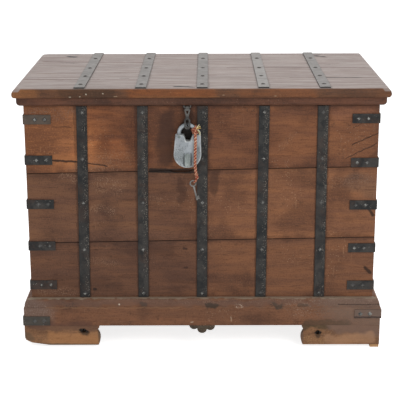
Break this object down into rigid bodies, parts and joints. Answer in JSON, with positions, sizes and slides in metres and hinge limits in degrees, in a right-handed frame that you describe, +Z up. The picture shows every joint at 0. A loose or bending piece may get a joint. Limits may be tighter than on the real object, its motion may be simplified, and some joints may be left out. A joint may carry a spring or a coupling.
{
  "type": "iron-bound wooden chest",
  "caption": "Long wooden chest on a moulded plinth, bound with nailed iron straps, with a hasp and an open hanging padlock and its key on a red cord.",
  "frame": {"origin": "on the floor under the middle of the chest", "axes": "+X along the chest to the right seen from the front, +Y towards the back, +Z up"},
  "size_m": [1.06, 0.6834, 0.7827],
  "materials": {
    "wall_wood": "worn",
    "lid_wood": "worn",
    "plinth_wood": "worn",
    "foot_wood": "worn",
    "new_wood": "raw",
    "strap_iron": "rusty",
    "nail_iron": "forged",
    "lock_iron": "worn",
    "cord_fibre": "matt"
  },
  "bodies": {
    "chest": {"front_board_bottom": "wall_wood", "front_board_middle": "wall_wood", "front_board_top": "wall_wood", "back_board_bottom": "wall_wood", "back_board_middle": "wall_wood", "back_board_top": "wall_wood", "left_board_bottom": "wall_wood", "left_board_middle": "wall_wood", "left_board_top": "wall_wood", "right_board_bottom": "wall_wood", "right_board_middle": "wall_wood", "right_board_top": "wall_wood", "floor_boards": "wall_wood", "plinth_front": "plinth_wood", "plinth_back": "plinth_wood", "plinth_left": "plinth_wood", "plinth_right": "plinth_wood", "foot_front_left": "foot_wood", "foot_front_right": "foot_wood", "foot_back_left": "foot_wood", "foot_back_right": "foot_wood", "apron_drop": "plinth_wood", "packing_blocks": "new_wood", "front_strap_1": "strap_iron", "front_strap_2": "strap_iron", "front_strap_3": "strap_iron", "front_strap_4": "strap_iron", "front_strap_5": "strap_iron", "back_straps": "strap_iron", "corner_straps_front_left": "strap_iron", "corner_straps_front_right": "strap_iron", "corner_straps_back_left": "strap_iron", "corner_straps_back_right": "strap_iron", "front_strap_nails": "nail_iron", "back_strap_nails": "nail_iron", "corner_strap_nails": "nail_iron", "hinge_pins": "lock_iron", "lock_staple": "lock_iron"},
    "lid": {"lid_board_1": "lid_wood", "lid_board_2": "lid_wood", "lid_board_3": "lid_wood", "lid_board_4": "lid_wood", "lid_rail_front": "lid_wood", "lid_rail_back": "lid_wood", "lid_rail_left": "lid_wood", "lid_rail_right": "lid_wood", "lid_battens": "lid_wood", "lid_straps": "strap_iron", "lid_strap_nails": "nail_iron", "hasp_staple": "lock_iron"},
    "hasp": {"hasp": "lock_iron"},
    "shackle": {"shackle": "lock_iron", "key_cord": "cord_fibre", "cord_knots": "cord_fibre"},
    "padlock": {"padlock_body": "lock_iron", "padlock_rivets": "lock_iron"},
    "cover": {"keyhole_cover": "lock_iron"},
    "key": {"key": "lock_iron"}
  },
  "joints": [
    {"name": "lid_hinge", "type": "hinge", "parent": "chest", "child": "lid", "pos_m": [0, 0.3179, 0.726], "axis": [-1, 0, 0], "range_deg": [0, 105]},
    {"name": "hasp_swing", "type": "hinge", "parent": "lid", "child": "hasp", "pos_m": [-0.04, -0.3066, 0.7205], "axis": [-1, 0, 0], "range_deg": [0, 60]},
    {"name": "padlock_swing", "type": "hinge", "parent": "chest", "child": "shackle", "pos_m": [-0.04, -0.3159, 0.6735], "axis": [-1, 0, 0], "range_deg": [0, 45]},
    {"name": "shackle_open", "type": "hinge", "parent": "shackle", "child": "padlock", "pos_m": [-0.0635, -0.3159, 0.641], "axis": [0, 1, 0], "range_deg": [0, 40]},
    {"name": "cover_swing", "type": "hinge", "parent": "padlock", "child": "cover", "pos_m": [-0.04, -0.3289, 0.5855], "axis": [0, 1, 0], "range_deg": [-60, 60]},
    {"name": "key_swing", "type": "hinge", "parent": "shackle", "child": "key", "pos_m": [-0.02238, -0.3366, 0.51064], "axis": [0, 1, 0], "range_deg": [-20, 20]}
  ]
}
